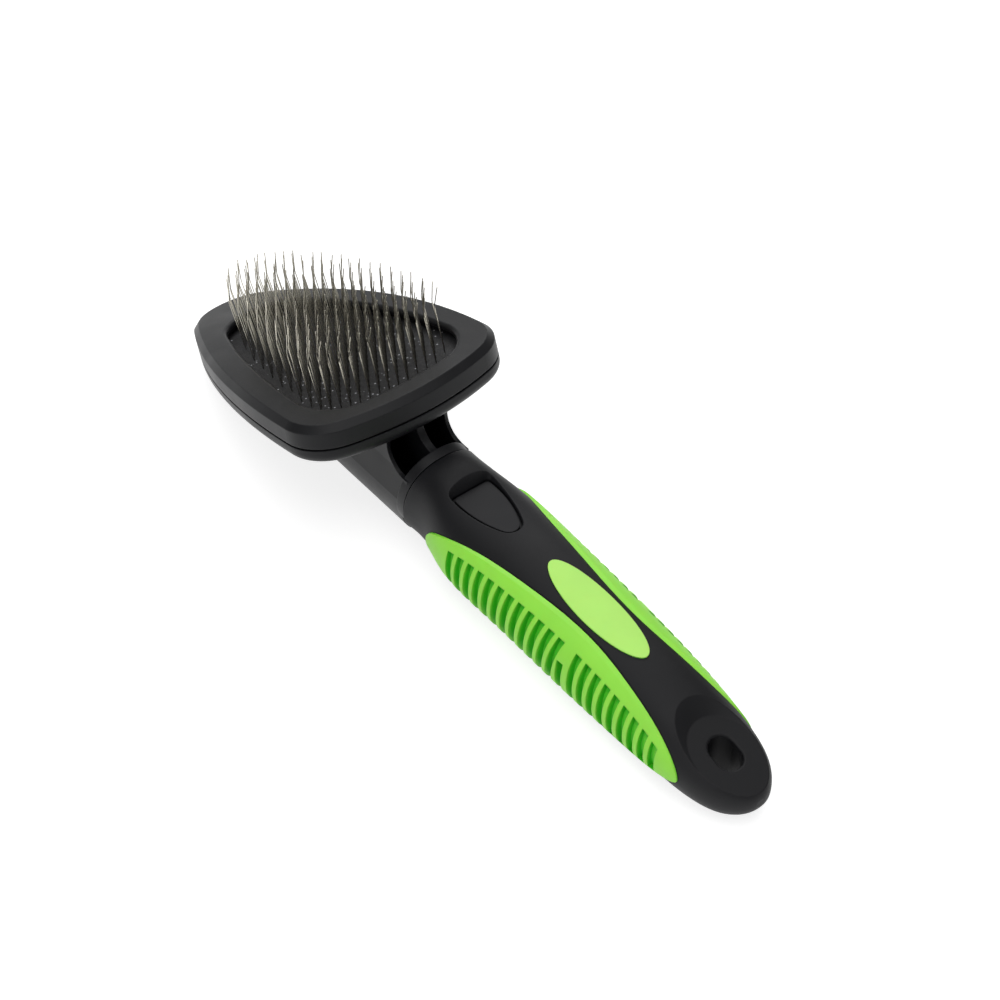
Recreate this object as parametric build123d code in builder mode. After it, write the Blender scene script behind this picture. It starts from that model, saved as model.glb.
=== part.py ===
from build123d import *
import os
from math import cos, hypot, pi, radians, sin, tan

# Slicker brush with a rounded triangular head, lying on its back with the pins up.
# X runs along the handle, from the tail to the nose of the head, and Y runs to the left.
# Z is up. The origin is on the table, below the middle of the brush.
# Sizes are in millimetres and angles in degrees.

# ---- Head: outline, seen along the pins ----
head_nose = 67.8  # where the two side edges would meet, ahead of the head's centre
head_back = 25.1  # how far behind the centre a side edge would meet the base edge
head_half_width = 27.4  # half the width where they would meet
head_side_bow = 8.0
head_base_bow = 5.9
head_nose_radius = 11.9
head_corner_radius = 11.6

# ---- Head: attitude ----
head_tilt = 19.0  # nose down from level
head_centre_x = 43.58
head_centre_z = 25.95  # height of the parting line at the head's centre
head_bend = 336.0  # radius of the head's lengthwise arch, measured at the parting line

# ---- Bezel frame ----
bezel_top = 5.15  # height of its front face above the parting line
bezel_chamfer = 1.45
bezel_wall = 1.9
bezel_plate = 1.4
window_nose_land = 12.1  # from the meeting point of the head's edges back to the window's
window_base_land = 3.4
window_side_land = 6.9
window_side_bow = 5.2
window_base_bow = 2.6
window_nose_radius = 10.7
window_corner_radius = 10.7
window_edge_radius = 0.9
lip_setback = 0.9
lip_thickness = 1.3

# ---- Back shell ----
parting_gap = 0.5
parting_gap_depth = 0.8
shell_height = 3.5
shell_edge_radius = 2.3
shell_floor = 1.4
shell_wall = 3.4
register_height = 1.6
register_wall = 1.2
snug_clearance = 0.1

# ---- Pin pad, and the foam and board under it ----
pad_recess = 3.0  # from the top of the bezel down to the face of the pad
pad_tuck = 1.6  # how far the pad reaches under the lip of the window
pad_clearance = 0.3
face_thickness = 0.4  # rubber face that the wires stand in
cloth_thickness = 0.8
board_thickness = 1.2

# ---- Wire pins ----
wire_size = 0.42
wire_root = 0.2  # length of wire held in the rubber face
lower_leg_height = 11.6
lower_leg_lean = 0.9  # towards the nose
upper_leg_height = 5.8
upper_leg_lean = 2.2  # back towards the handle
pin_pitch_across = 2.6
pin_pitch_along = 2.0
pin_margin = 2.8  # bare edge of the pad inside the window

# ---- Seam between grip and neck ----
seam_x = 9.9
seam_z = 14.0
seam_tilt = 9.4
seam_half_width = 10.0
seam_half_height = 11.3
seam_step = 0.3  # the collar is a little smaller than the grip it meets
seam_gap = 0.4  # shadow line between the grip and the collar
seam_gap_depth = 1.0

# ---- Collar and neck ----
collar_length = 2.8
neck_half_width = 9.4
neck_shoulder_half_width = 8.4
neck_shoulder_z = 22.0
neck_heel_z = 2.4
foot_rear_x = 17.5
foot_front_x = 26.5
belly_x = 31.5
belly_z = 5.0
throat_x = 46.5
throat_z = 16.0
neck_top_z = 36.0
neck_keel_z = -0.4  # lowest point of the round section, before the foot is cut flat
wall_foot_z = 20.8  # where the side walls leave the collar
rib_foot_z = 24.2  # where the middle rib leaves the collar
gusset_radius = 6.0
rib_thickness = 1.8
neck_wall = 1.9
screw_pilot_clearance = 0.05
pocket_floor_z = 8.5
pocket_front_x = 31.5
pocket_corner_radius = 1.6

# ---- Screws that hold the neck to the back shell ----
screw_shank_radius = 1.5
screw_shank_length = 9.0
screw_head_radius = 2.8
screw_head_height = 1.0
screw_spread = 11.0
screw_offset = 6.5  # behind the head's centre
screw_clearance = 0.1
screw_recess_length = 3.0
screw_recess_width = 0.8
screw_recess_depth = 0.6

# ---- Grip ----
# Each station is its place along X, its half width, and the heights of its crown and underside.
grip_stations = [
    (-5.5, 12.0, 23.8, 2.3),
    (-21.5, 12.0, 22.8, 1.6),
    (-37.5, 11.6, 21.7, 1.1),
    (-53.5, 11.4, 20.2, 0.6),
    (-67.5, 11.1, 18.5, 0.2),
    (-78.5, 10.6, 16.3, 0.1),
    (-86.5, 9.4, 14.5, 0.3),
    (-91.7, 7.4, 13.0, 1.1),
    (-94.9, 4.9, 11.2, 2.8),
    (-96.4, 2.9, 9.5, 4.5),
    (-97.0, 1.1, 7.9, 6.1),
]
core_end_x = -67.5
grip_mean_radius = 11.5
bed_depth = 2.2  # of the beds that hold the coloured inlays
inlay_proud = 0.3
grip_fullness = 0.64  # Bezier handle length; the sections are squarer than an ellipse
grip_skin = 3.2

# ---- Tail: sloping landing and hang hole ----
hang_hole_x = -85.7
hang_hole_z = 12.3
hang_hole_length = 8.0
hang_hole_width = 6.0
hang_hole_edge_radius = 0.5
landing_slope = 14.8
landing_reach = 9.0  # from the hole's centre to the front of the landing
landing_half_width = 7.4
scoop_slope = 70.0  # of the scooped wall, away from the landing's normal
scoop_height = 5.0

# ---- Soft side inlays ----
side_front_x = 1.1
side_front_z = 10.4
side_crest_x = -28.5
side_crest_z = 20.6
side_rear_x = -82.7
side_rear_z = 8.0
side_keel_x = -35.5
side_keel_z = 3.4
side_front_fullness = 0.72
side_rear_fullness = 0.55
side_root_y = 5.4  # nearest the inlay comes to the middle of the grip
side_border = 1.9
inlay_swell = 1.0  # further rise of the side inlay beyond the grip, halfway along it
groove_depth = 1.1  # below the smooth border
groove_bow = 0.7
groove_top_z = 24.0
groove_foot_z = -2.0
front_groove_count = 12
front_groove_width = 2.0
front_groove_x = -9.7
front_groove_pitch = 3.25
front_groove_lean = 1.0
front_groove_fan = 0.3  # each further groove leans more by this much
rear_groove_count = 9
rear_groove_width = 1.9
rear_groove_x = -50.0
rear_groove_pitch = 3.1
middle_groove_x = -47.1
middle_groove_top_z = 14.5
middle_groove_foot_x = -44.7

# ---- Oval inlay ----
oval_x = -44.8
oval_length = 31.6
oval_width = 9.1

# ---- Thumb pad ----
thumb_front_x = -0.9
thumb_point_x = -20.5
thumb_half_width = 5.2
thumb_side_bow = 1.9
thumb_tip_radius = 3.0
thumb_corner_radius = 1.0
thumb_face_z = 22.3
thumb_gap = 0.5
thumb_wall_slope = 25.0
thumb_thickness = 0.8

reach = 60.0  # of a cutting body past the part it cuts


# ---- Derived levels, measured along the pins from the parting line ----
tilt = radians(head_tilt)
bend_centre_x = head_centre_x - head_bend * sin(tilt)
bend_centre_z = head_centre_z - head_bend * cos(tilt)
pad_face = bezel_top - pad_recess
cloth_face = pad_face - face_thickness
cloth_back = cloth_face - cloth_thickness
shell_base = -parting_gap - shell_height
board_back = shell_base + shell_floor
foam_back = board_back + board_thickness
lip_foot = pad_face + pad_clearance
lip_outset = lip_setback + lip_thickness
register_inset = bezel_wall + snug_clearance

seam_lean = radians(seam_tilt)
seam_plane = Plane(
    origin=(seam_x, 0, seam_z),
    x_dir=(0, 1, 0),
    z_dir=(cos(seam_lean), 0, sin(seam_lean)),
)

landing_lean = radians(landing_slope)
landing_plane = Plane(
    origin=(hang_hole_x, 0, hang_hole_z),
    x_dir=(cos(landing_lean), 0, sin(landing_lean)),
    z_dir=(-sin(landing_lean), 0, cos(landing_lean)),
)


# ---- Outlines ----
def bowed_disc(start, end, bow):
    """Centre and radius of the circle through two points whose arc bows out by an amount."""
    run = end[0] - start[0]
    rise = end[1] - start[1]
    chord = hypot(run, rise)
    radius = (chord**2 / 4 + bow**2) / (2 * bow)
    drop = (radius - bow) / chord
    centre = ((start[0] + end[0]) / 2 - rise * drop, (start[1] + end[1]) / 2 + run * drop)
    return centre, radius


def rounded_triangle(shape, inset):
    """Triangle with bowed edges and rounded corners, its nose along the first axis."""
    nose, back, half_width, side_bow, base_bow, nose_radius, corner_radius = shape
    tip = (nose, 0)
    left = (-back, half_width)
    right = (-back, -half_width)
    base_centre, base_radius = bowed_disc(left, right, base_bow)
    left_centre, side_radius = bowed_disc(tip, left, side_bow)
    right_centre = (left_centre[0], -left_centre[1])
    with BuildSketch() as outline:
        with Locations(base_centre):
            Circle(base_radius - inset)
        with Locations(left_centre):
            Circle(side_radius - inset, mode=Mode.INTERSECT)
        with Locations(right_centre):
            Circle(side_radius - inset, mode=Mode.INTERSECT)
        rear_corners = outline.vertices().sort_by(Axis.X)[:2]
        fillet(rear_corners, corner_radius - inset)
        front_corner = outline.vertices().sort_by(lambda corner: abs(corner.Y))[0]
        fillet(front_corner, nose_radius - inset)
    return outline.sketch


# ---- The head's lengthwise arch ----
def head_spot(along):
    """Plane square to the pins on the arched parting line, a distance ahead of its centre."""
    turn = tilt + along / head_bend
    return Plane(
        origin=(bend_centre_x + head_bend * sin(turn), 0, bend_centre_z + head_bend * cos(turn)),
        x_dir=(cos(turn), 0, -sin(turn)),
        z_dir=(sin(turn), 0, cos(turn)),
    )


head_plane = head_spot(0)


def head_slab(shape, inset, low, high):
    """Arched slab with a rounded triangular outline, between two levels of the head."""
    with BuildPart() as slab:
        with BuildSketch(head_plane):
            add(rounded_triangle(shape, inset))
        extrude(amount=reach, both=True)
        with BuildSketch(Plane.XZ):
            with Locations((bend_centre_x, bend_centre_z)):
                Circle(head_bend + high)
                Circle(head_bend + low, mode=Mode.SUBTRACT)
        extrude(amount=reach, both=True, mode=Mode.INTERSECT)
    return slab.part


# ---- Grip surfaces ----
def squared_oval(half_width, half_height):
    """Closed section of four Bezier quarters, starting at the end of its first axis."""
    wide = half_width * grip_fullness
    high = half_height * grip_fullness
    east = (half_width, 0)
    north = (0, half_height)
    west = (-half_width, 0)
    south = (0, -half_height)
    with BuildSketch() as section:
        with BuildLine():
            Bezier(east, (half_width, high), (wide, half_height), north)
            Bezier(north, (-wide, half_height), (-half_width, high), west)
            Bezier(west, (-half_width, -high), (-wide, -half_height), south)
            Bezier(south, (wide, -half_height), (half_width, -high), east)
        make_face()
    return section.sketch


def grip_body(depth, swell=0.0):
    """Lofted grip from the seam to the tail, its surface moved in by about this depth.

    The swell widens it over the length of the side inlays, most at their middle.
    """
    scale = 1 - depth / grip_mean_radius
    inlay_length = side_front_x - side_rear_x
    with BuildPart() as body:
        with BuildSketch(seam_plane):
            add(squared_oval(seam_half_width * scale, seam_half_height * scale))
        for x, half_width, crown, underside in grip_stations:
            centre = (x, 0, (crown + underside) / 2)
            half_height = (crown - underside) / 2
            place = min(max((x - side_rear_x) / inlay_length, 0), 1)
            swollen = half_width * scale + swell * sin(pi * place)
            with BuildSketch(Plane(origin=centre, x_dir=(0, 1, 0), z_dir=(1, 0, 0))):
                add(squared_oval(swollen, half_height * scale))
        loft()
    return body.part


head_shape = (
    head_nose, head_back, head_half_width,
    head_side_bow, head_base_bow, head_nose_radius, head_corner_radius,
)
window_shape = (
    head_nose - window_nose_land, head_back - window_base_land, head_half_width - window_side_land,
    window_side_bow, window_base_bow, window_nose_radius, window_corner_radius,
)
pin_region = rounded_triangle(window_shape, pin_margin).face()
screw_spot = head_spot(-screw_offset)
screw_places = [(0, screw_spread / 2), (0, -screw_spread / 2)]


# ---- Bezel frame: the triangular front of the head, with its window ----
with BuildPart() as lip_ring:
    add(head_slab(window_shape, -lip_outset, lip_foot, bezel_top - bezel_plate))
    add(head_slab(window_shape, -lip_setback, 0, reach), mode=Mode.SUBTRACT)

with BuildPart() as bezel_frame:
    add(head_slab(head_shape, 0, 0, bezel_top))
    front_face = bezel_frame.faces().sort_by(Axis(head_plane.origin, head_plane.z_dir))[-1]
    chamfer(front_face.outer_wire().edges(), bezel_chamfer)
    add(head_slab(head_shape, bezel_wall, -reach, bezel_top - bezel_plate), mode=Mode.SUBTRACT)
    add(head_slab(window_shape, 0, 0, reach), mode=Mode.SUBTRACT)
    front_face = bezel_frame.faces().sort_by(Axis(head_plane.origin, head_plane.z_dir))[-1]
    fillet(front_face.inner_wires()[0].edges(), window_edge_radius)
    add(lip_ring.part)
bezel_frame.part.label = "bezel_frame"


# ---- Back shell: the shallow dish that closes the head from behind ----
with BuildPart() as shell_form:
    add(head_slab(head_shape, 0, shell_base, -parting_gap))
    broad_faces = shell_form.faces().sort_by(SortBy.AREA)[-2:]
    rear_face = broad_faces.sort_by(Axis(head_plane.origin, head_plane.z_dir))[0]
    fillet(rear_face.outer_wire().edges(), shell_edge_radius)
    add(head_slab(head_shape, parting_gap_depth, board_back, 0))

with BuildPart() as register_ring:
    add(head_slab(head_shape, register_inset, 0, register_height))
    add(head_slab(head_shape, register_inset + register_wall, -reach, reach), mode=Mode.SUBTRACT)

with BuildPart() as back_shell:
    add(shell_form.part)
    add(head_slab(head_shape, shell_wall, board_back, reach), mode=Mode.SUBTRACT)
    add(register_ring.part)
    with BuildSketch(screw_spot.offset(shell_base)):
        with Locations(*screw_places):
            Circle(screw_shank_radius + screw_clearance)
    extrude(amount=shell_floor, both=True, mode=Mode.SUBTRACT)
back_shell.part.label = "back_shell"


# ---- Backing board, with room for the two screw heads ----
with BuildPart() as backing_board:
    add(head_slab(window_shape, -pad_tuck, board_back, foam_back))
    with BuildSketch(screw_spot):
        with Locations(*screw_places):
            Circle(screw_head_radius + pad_clearance)
    extrude(amount=-reach, mode=Mode.SUBTRACT)
backing_board.part.label = "backing_board"


# ---- Foam cushion under the pin pad ----
with BuildPart() as foam_cushion:
    add(head_slab(window_shape, -pad_tuck, foam_back, cloth_back))
foam_cushion.part.label = "foam_cushion"


# ---- Carding cloth under the rubber face of the pad ----
with BuildPart() as carding_cloth:
    add(head_slab(window_shape, -pad_tuck, cloth_back, cloth_face))
carding_cloth.part.label = "carding_cloth"


# ---- Wire pins: bent wires set in rows in the rubber face of the pad ----
half_wire = wire_size / 2
knee = pad_face + lower_leg_height
tip = knee + upper_leg_height
with BuildPart() as one_pin:
    with BuildSketch(Plane.XY.offset(pad_face - wire_root)):
        Rectangle(wire_size, wire_size)
    with BuildSketch(Plane.XY.offset(knee)):
        with Locations((lower_leg_lean, 0)):
            Rectangle(wire_size, wire_size)
    with BuildSketch(Plane.XY.offset(tip)):
        with Locations((lower_leg_lean - upper_leg_lean, 0)):
            Rectangle(wire_size, wire_size)
    loft(ruled=True)


def pin_places():
    """Staggered rows over the pad, keeping the places that fall inside the bare margin."""
    extent = pin_region.bounding_box()
    row_count = int(extent.size.X / pin_pitch_along)
    half_count = int(extent.max.Y / pin_pitch_across) + 1
    first_x = extent.center().X - row_count * pin_pitch_along / 2
    places = []
    for row in range(row_count + 1):
        stagger = (row % 2) / 2
        for place in range(-half_count, half_count + 1):
            x = first_x + row * pin_pitch_along
            y = (place + stagger) * pin_pitch_across
            if pin_region.is_inside(Vector(x, y, 0)):
                places.append((x, y))
    return places


with BuildPart() as wire_pins:
    add(head_slab(window_shape, -pad_tuck, cloth_face, pad_face))
    with Locations(*[head_spot(x).location * Pos(0, y, 0) for x, y in pin_places()]):
        add(one_pin.part, clean=False)
wire_pins.part.label = "wire_pins"


# ---- Screws that hold the neck to the back shell ----
with BuildPart() as neck_screws:
    with BuildSketch(screw_spot.offset(board_back)):
        with Locations(*screw_places):
            Circle(screw_head_radius)
    extrude(amount=screw_head_height)
    with BuildSketch(screw_spot.offset(board_back)):
        with Locations(*screw_places):
            Circle(screw_shank_radius)
    extrude(amount=-screw_shank_length)
    with BuildSketch(screw_spot.offset(board_back + screw_head_height)):
        with Locations(*screw_places):
            Rectangle(screw_recess_length, screw_recess_width)
            Rectangle(screw_recess_width, screw_recess_length)
    extrude(amount=-screw_recess_depth, mode=Mode.SUBTRACT)
neck_screws.part.label = "neck_screws"


# ---- Neck: collar, gusseted column up to the head, and the core inside the grip ----
def seam_line_x(ahead, z):
    """Place along X, at a height, of the seam moved ahead by a distance."""
    return seam_x + ahead / cos(seam_lean) - (z - seam_z) * tan(seam_lean)


def neck_slab(foot_z, half_thickness):
    """Side profile of the neck, its rear edge leaving the collar at a height."""
    ahead = collar_length / 2
    foot = (seam_line_x(collar_length, foot_z), foot_z)
    rise = (foot[0] + gusset_radius, foot_z + gusset_radius)
    middle = (rise[0] - gusset_radius * (1 - sin(radians(45))), rise[1] - gusset_radius * cos(radians(45)))
    with BuildPart() as slab:
        with BuildSketch(Plane.XZ):
            with BuildLine():
                Polyline(
                    foot,
                    (seam_line_x(ahead, foot_z), foot_z),
                    (seam_line_x(ahead, neck_heel_z), neck_heel_z),
                    (foot_rear_x, 0),
                    (foot_front_x, 0),
                )
                Bezier((foot_front_x, 0), (belly_x, 0), (throat_x, belly_z), (throat_x, throat_z))
                Polyline((throat_x, throat_z), (throat_x, neck_top_z), (rise[0], neck_top_z), rise)
                ThreePointArc(rise, middle, foot)
            make_face()
        extrude(amount=half_thickness, both=True)
    return slab.part


with BuildPart() as grip_core:
    add(grip_body(grip_skin))
    with BuildSketch(Plane.YZ.offset(core_end_x)):
        Rectangle(reach, reach)
    extrude(amount=-reach, mode=Mode.SUBTRACT)

pocket_inner_y = rib_thickness / 2
pocket_outer_y = neck_half_width - neck_wall

with BuildPart() as neck_column:
    with BuildSketch(Plane.YZ):
        with BuildLine():
            EllipticalCenterArc(
                (0, seam_z), neck_half_width, seam_z - neck_keel_z,
                start_angle=180, arc_size=180,
            )
            Polyline(
                (neck_half_width, seam_z),
                (neck_shoulder_half_width, neck_shoulder_z),
                (neck_shoulder_half_width, neck_top_z),
                (-neck_shoulder_half_width, neck_top_z),
                (-neck_shoulder_half_width, neck_shoulder_z),
                (-neck_half_width, seam_z),
            )
        make_face()
    extrude(amount=reach)
    add(neck_slab(wall_foot_z, neck_half_width), mode=Mode.INTERSECT)
    add(neck_slab(rib_foot_z, rib_thickness / 2))
    for side in (1, -1):
        inner = Plane.XZ.offset(-side * pocket_inner_y)
        with BuildSketch(inner):
            with BuildLine():
                pocket_rear_x = seam_line_x(collar_length, pocket_floor_z)
                Polyline(
                    (pocket_rear_x, pocket_floor_z),
                    (pocket_front_x, pocket_floor_z),
                    (pocket_front_x, neck_top_z),
                    (seam_line_x(collar_length, neck_top_z), neck_top_z),
                    (pocket_rear_x, pocket_floor_z),
                )
            pocket_face = make_face()
            fillet(pocket_face.vertices().sort_by(Axis.X)[-2:].sort_by(Axis.Z)[0], pocket_corner_radius)
        extrude(amount=-side * (pocket_outer_y - pocket_inner_y), mode=Mode.SUBTRACT)

with BuildPart() as neck:
    with BuildSketch(seam_plane):
        add(squared_oval(seam_half_width - seam_gap_depth, seam_half_height - seam_gap_depth))
    extrude(amount=seam_gap)
    with BuildSketch(seam_plane.offset(seam_gap)):
        add(squared_oval(seam_half_width - seam_step, seam_half_height - seam_step))
    extrude(amount=collar_length - seam_gap)
    add(neck_column.part)
    with BuildSketch(head_plane.offset(board_back)):
        Rectangle(2 * reach, reach)
    extrude(amount=reach, mode=Mode.SUBTRACT)
    add(shell_form.part, mode=Mode.SUBTRACT)
    add(grip_core.part)
    with BuildSketch(screw_spot.offset(board_back - screw_shank_length - screw_clearance)):
        with Locations(*screw_places):
            Circle(screw_shank_radius + screw_pilot_clearance)
    extrude(amount=reach, mode=Mode.SUBTRACT)
neck.part.label = "neck"


# ---- Beds and inlays ----
grip_outside = grip_body(0)
grip_proud = grip_body(-inlay_proud)
grip_beds = grip_body(bed_depth)
grip_swollen = grip_body(-inlay_proud, inlay_swell)
groove_floor = grip_body(groove_depth - inlay_proud)


def side_lens(inset):
    """Leaf shape of the side inlay, seen from the side, its crest and both ends moved in."""
    front_x = side_front_x - inset
    crest_z = side_crest_z - inset
    rear_x = side_rear_x + inset
    keel_z = side_keel_z
    front = (front_x, side_front_z)
    crest = (side_crest_x, crest_z)
    rear = (rear_x, side_rear_z)
    keel = (side_keel_x, keel_z)
    front_rise = side_front_fullness * (crest_z - side_front_z)
    rear_rise = side_rear_fullness * (crest_z - side_rear_z)
    front_drop = side_front_fullness * (side_front_z - keel_z)
    rear_drop = side_rear_fullness * (side_rear_z - keel_z)
    front_reach = side_front_fullness * (front_x - side_crest_x)
    rear_reach = side_rear_fullness * (side_crest_x - rear_x)
    with BuildSketch() as lens:
        with BuildLine():
            Bezier(
                front, (front_x, side_front_z + front_rise),
                (side_crest_x + front_reach, crest_z), crest,
            )
            Bezier(
                crest, (side_crest_x - rear_reach, crest_z),
                (rear_x, side_rear_z + rear_rise), rear,
            )
            Bezier(
                rear, (rear_x, side_rear_z - rear_drop),
                (side_keel_x - rear_reach, keel_z), keel,
            )
            Bezier(
                keel, (side_keel_x + front_reach, keel_z),
                (front_x, side_front_z - front_drop), front,
            )
        make_face()
    return lens.sketch


def groove(top_x, top_z, foot_x, width):
    """One bowed groove, from its top down to its foot."""
    middle_x = (top_x + foot_x) / 2 - groove_bow
    middle_z = (top_z + groove_foot_z) / 2
    half = width / 2
    with BuildSketch() as strip:
        with BuildLine():
            ThreePointArc((top_x + half, top_z), (middle_x + half, middle_z), (foot_x + half, groove_foot_z))
            Line((foot_x + half, groove_foot_z), (foot_x - half, groove_foot_z))
            ThreePointArc((foot_x - half, groove_foot_z), (middle_x - half, middle_z), (top_x - half, top_z))
            Line((top_x - half, top_z), (top_x + half, top_z))
        make_face()
    return strip.sketch


side_root = Plane.XZ.offset(-side_root_y)

with BuildPart() as side_bed:
    with BuildSketch(side_root):
        add(side_lens(0))
    extrude(amount=-reach)
    add(grip_beds, mode=Mode.SUBTRACT)

with BuildPart() as side_grooves:
    with BuildSketch(side_root):
        for number in range(front_groove_count):
            top_x = front_groove_x - number * front_groove_pitch
            lean = front_groove_lean + number * front_groove_fan
            add(groove(top_x, groove_top_z, top_x + lean, front_groove_width))
        for number in range(rear_groove_count):
            top_x = rear_groove_x - number * rear_groove_pitch
            add(groove(top_x, groove_top_z, top_x, rear_groove_width))
        add(groove(middle_groove_x, middle_groove_top_z, middle_groove_foot_x, rear_groove_width))
        add(side_lens(side_border), mode=Mode.INTERSECT)
    extrude(amount=-reach)
    add(groove_floor, mode=Mode.SUBTRACT)

with BuildPart() as left_grip_inlay:
    add(side_bed.part)
    add(grip_swollen, mode=Mode.INTERSECT)
    add(side_grooves.part, mode=Mode.SUBTRACT)
left_grip_inlay.part.label = "left_grip_inlay"

with BuildPart() as right_grip_inlay:
    add(left_grip_inlay.part)
    mirror(about=Plane.XZ, mode=Mode.REPLACE)
right_grip_inlay.part.label = "right_grip_inlay"

with BuildPart() as oval_bed:
    with BuildSketch(Plane.XY.offset(seam_z)):
        with Locations((oval_x, 0)):
            Ellipse(oval_length / 2, oval_width / 2)
    extrude(amount=reach)
    add(grip_beds, mode=Mode.SUBTRACT)

with BuildPart() as oval_inlay:
    add(oval_bed.part)
    add(grip_proud, mode=Mode.INTERSECT)
oval_inlay.part.label = "oval_inlay"


# ---- Thumb pad in its sloping well ----
def thumb_outline(inset):
    """Shield shape with a straight front edge and its rounded tip towards the tail."""
    left = (thumb_front_x, thumb_half_width)
    point = (thumb_point_x, 0)
    centre, radius = bowed_disc(left, point, thumb_side_bow)
    with BuildSketch() as shield:
        with Locations(centre):
            Circle(radius - inset)
        with Locations((centre[0], -centre[1])):
            Circle(radius - inset, mode=Mode.INTERSECT)
        with Locations((thumb_front_x - inset, 0)):
            Rectangle(reach, reach, align=(Align.MAX, Align.CENTER), mode=Mode.INTERSECT)
        corners = shield.vertices().sort_by(Axis.X)
        fillet(corners[-2:], thumb_corner_radius)
        fillet(shield.vertices().sort_by(Axis.X)[0], thumb_tip_radius - inset)
    return shield.sketch


with BuildPart() as thumb_pad:
    with BuildSketch(Plane.XY.offset(thumb_face_z)):
        add(thumb_outline(thumb_gap))
    extrude(amount=-thumb_thickness)
thumb_pad.part.label = "thumb_pad"


# ---- Grip sleeve: soft cover over the core, with beds for the inlays ----
with BuildPart() as landing_cut:
    with BuildSketch(landing_plane):
        with Locations((-reach / 2, 0)):
            Rectangle(reach, reach)
    extrude(amount=reach)
    with BuildSketch(landing_plane):
        Ellipse(landing_reach, landing_half_width)
    extrude(amount=scoop_height, taper=-scoop_slope)

with BuildPart() as grip_sleeve:
    add(grip_outside)
    add(landing_cut.part, mode=Mode.SUBTRACT)
    with BuildSketch():
        with Locations((hang_hole_x, 0)):
            SlotOverall(hang_hole_length, hang_hole_width)
    extrude(amount=reach, both=True, mode=Mode.SUBTRACT)
    landing_face = grip_sleeve.faces().filter_by(landing_plane)[0]
    fillet(landing_face.inner_wires()[0].edges(), hang_hole_edge_radius)
    add(grip_core.part, mode=Mode.SUBTRACT)
    add(side_bed.part, mode=Mode.SUBTRACT)
    mirror(side_bed.part, about=Plane.XZ, mode=Mode.SUBTRACT)
    add(oval_bed.part, mode=Mode.SUBTRACT)
    with BuildSketch(Plane.XY.offset(thumb_face_z)):
        add(thumb_outline(0))
    extrude(amount=-thumb_thickness, mode=Mode.SUBTRACT)
    with BuildSketch(Plane.XY.offset(thumb_face_z)):
        add(thumb_outline(0))
    extrude(amount=scoop_height, taper=-thumb_wall_slope, mode=Mode.SUBTRACT)
grip_sleeve.part.label = "grip_sleeve"


# ---- Files ----
os.makedirs("parts", exist_ok=True)
export_step(bezel_frame.part, "parts/bezel_frame.step")
export_step(back_shell.part, "parts/back_shell.step")
export_step(backing_board.part, "parts/backing_board.step")
export_step(foam_cushion.part, "parts/foam_cushion.step")
export_step(carding_cloth.part, "parts/carding_cloth.step")
export_step(wire_pins.part, "parts/wire_pins.step")
export_step(neck_screws.part, "parts/neck_screws.step")
export_step(neck.part, "parts/neck.step")
export_step(grip_sleeve.part, "parts/grip_sleeve.step")
export_step(left_grip_inlay.part, "parts/left_grip_inlay.step")
export_step(right_grip_inlay.part, "parts/right_grip_inlay.step")
export_step(oval_inlay.part, "parts/oval_inlay.step")
export_step(thumb_pad.part, "parts/thumb_pad.step")
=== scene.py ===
import bpy
import numpy as np
from bpy.props import FloatProperty, FloatVectorProperty, IntProperty, PointerProperty
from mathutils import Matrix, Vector


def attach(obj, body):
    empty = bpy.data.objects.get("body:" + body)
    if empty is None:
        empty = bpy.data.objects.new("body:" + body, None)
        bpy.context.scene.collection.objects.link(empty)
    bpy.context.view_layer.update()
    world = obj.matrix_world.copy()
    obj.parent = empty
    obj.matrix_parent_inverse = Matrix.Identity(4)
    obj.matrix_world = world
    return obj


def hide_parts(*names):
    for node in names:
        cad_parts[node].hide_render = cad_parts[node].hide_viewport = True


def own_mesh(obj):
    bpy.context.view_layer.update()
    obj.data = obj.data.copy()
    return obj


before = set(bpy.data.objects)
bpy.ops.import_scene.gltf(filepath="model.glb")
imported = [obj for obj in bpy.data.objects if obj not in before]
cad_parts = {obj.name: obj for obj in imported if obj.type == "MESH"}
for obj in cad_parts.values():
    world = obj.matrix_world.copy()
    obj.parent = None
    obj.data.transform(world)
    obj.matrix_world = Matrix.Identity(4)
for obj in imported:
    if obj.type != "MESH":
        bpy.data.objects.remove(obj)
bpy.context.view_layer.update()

bl_info = {
    "name": "Slicker Brush Dressing",
    "version": (1, 0, 0),
    "blender": (4, 5, 0),
    "location": "3D View > Sidebar > Slicker Brush",
    "description": "Wires, pad, soft filling, finishes and studio for the slicker brush",
    "category": "Object",
}

# Wires: their mesh, their bend and how far each strays from its place, lengths in metres.
WIRE_SIDES = 6
BEND_POINTS = 5
BEND_BELOW = 0.04  # share of the lower leg taken up by the bend
BEND_ABOVE = 0.08  # share of the upper leg taken up by the bend
TIP_SHARE = 0.03  # share of the upper leg that narrows to the tip
TIP_NARROWING = 0.7
FOOT_DEPTH = 0.0002
KNEE_SCATTER = 0.00014
TIP_SCATTER = 0.0002
LARGEST_SHORTFALL = 0.00035
PLACES_A_SIDE = 12  # places tried in a row, each side of its middle

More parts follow.
